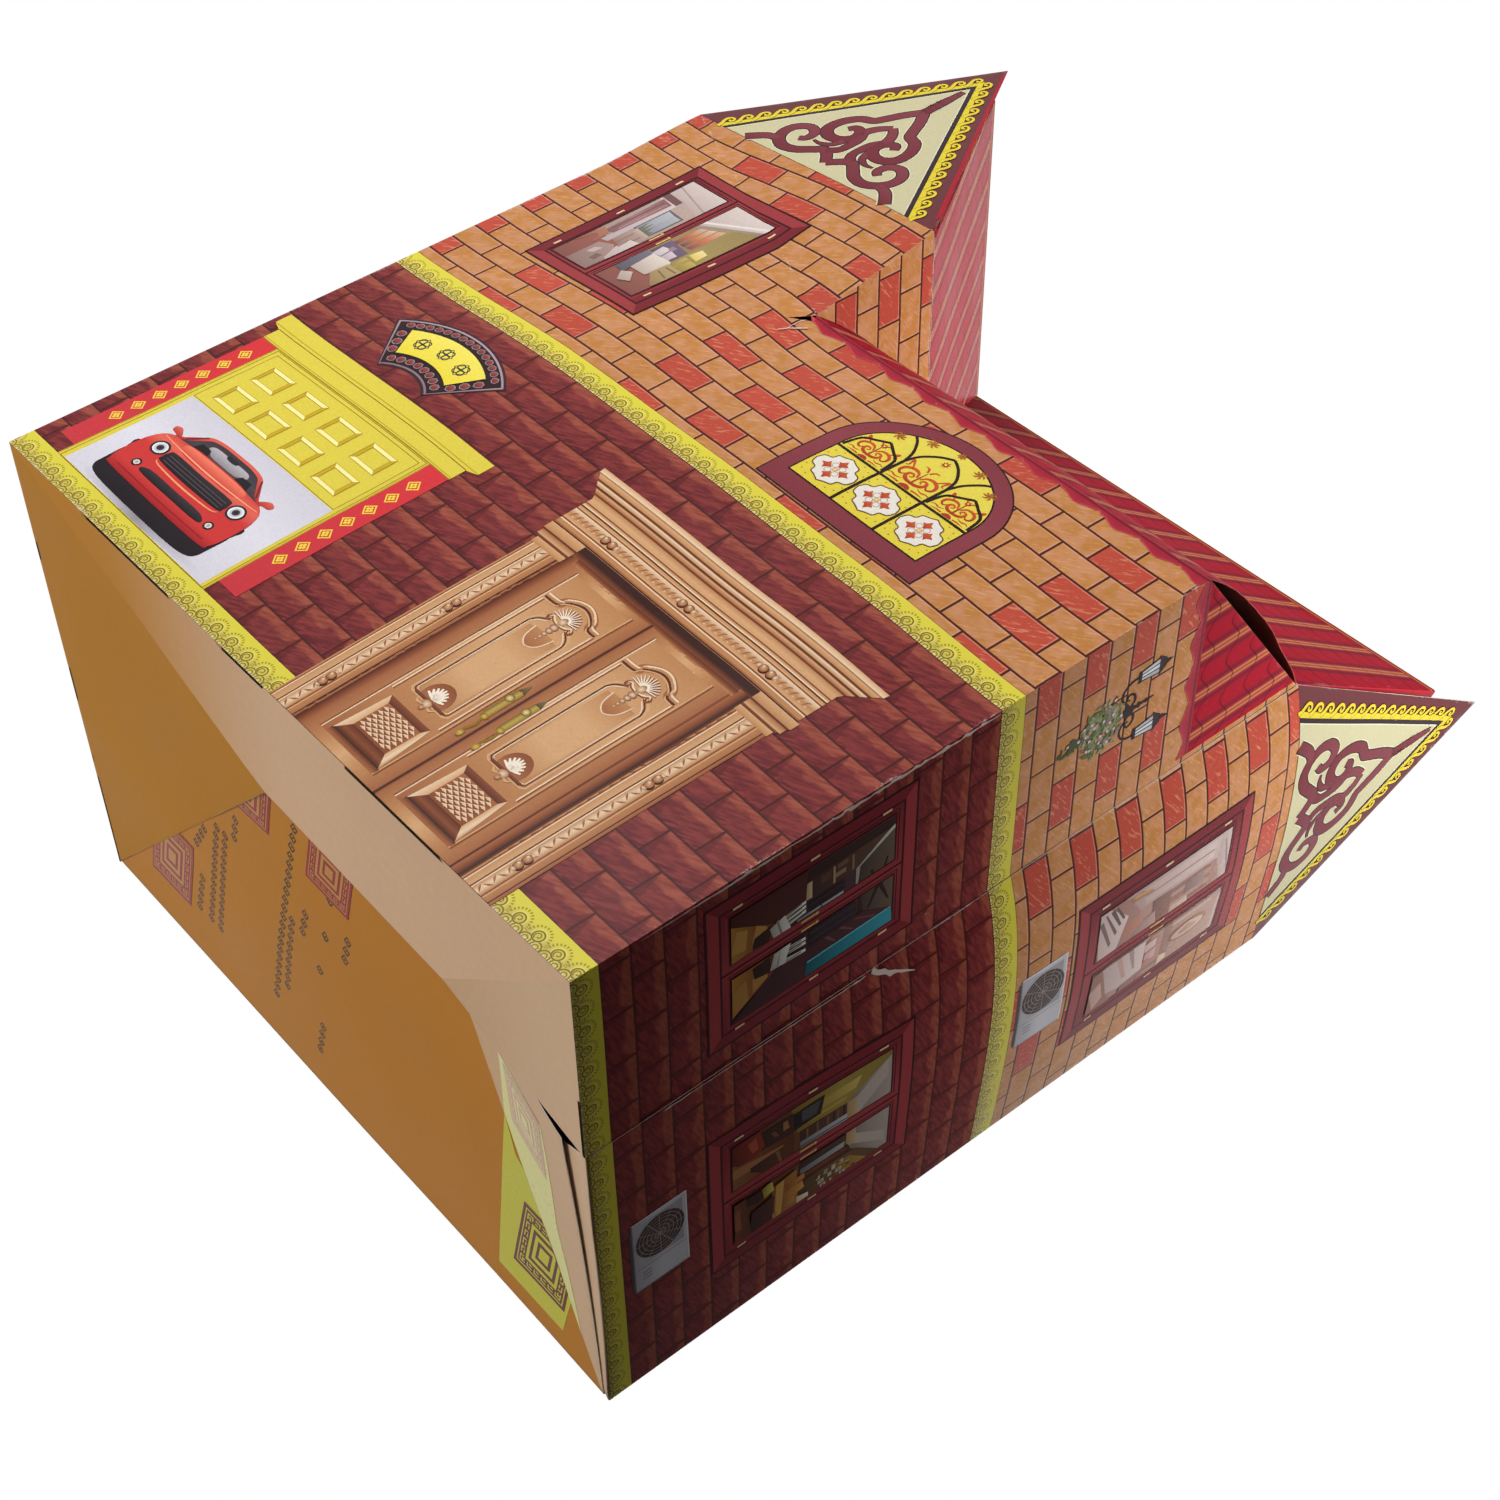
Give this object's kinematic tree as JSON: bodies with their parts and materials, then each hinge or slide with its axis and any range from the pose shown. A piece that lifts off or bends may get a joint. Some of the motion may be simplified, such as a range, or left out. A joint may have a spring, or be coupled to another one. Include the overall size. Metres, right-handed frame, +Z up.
{
  "type": "joss paper house",
  "caption": "Two-storey folded card villa with crossing red gable roofs, lean-to roof, printed brick walls, windows, door and garage.",
  "frame": {"origin": "on the ground, under the centre of the box round the whole house", "axes": "+Z up, front wall with door and garage towards -Y, garage and tall block at -X, bulged wall at +X"},
  "size_m": [0.4, 0.2732, 0.503],
  "materials": {
    "printed_walls": "brick and stone print on gloss card",
    "printed_roof": "red tile print on gloss card"
  },
  "bodies": {
    "root": {"front_wall_sheet": "printed_walls", "back_wall_sheet": "printed_walls", "main_roof_sheet": "printed_roof", "cross_roof_sheet": "printed_roof"}
  },
  "joints": []
}
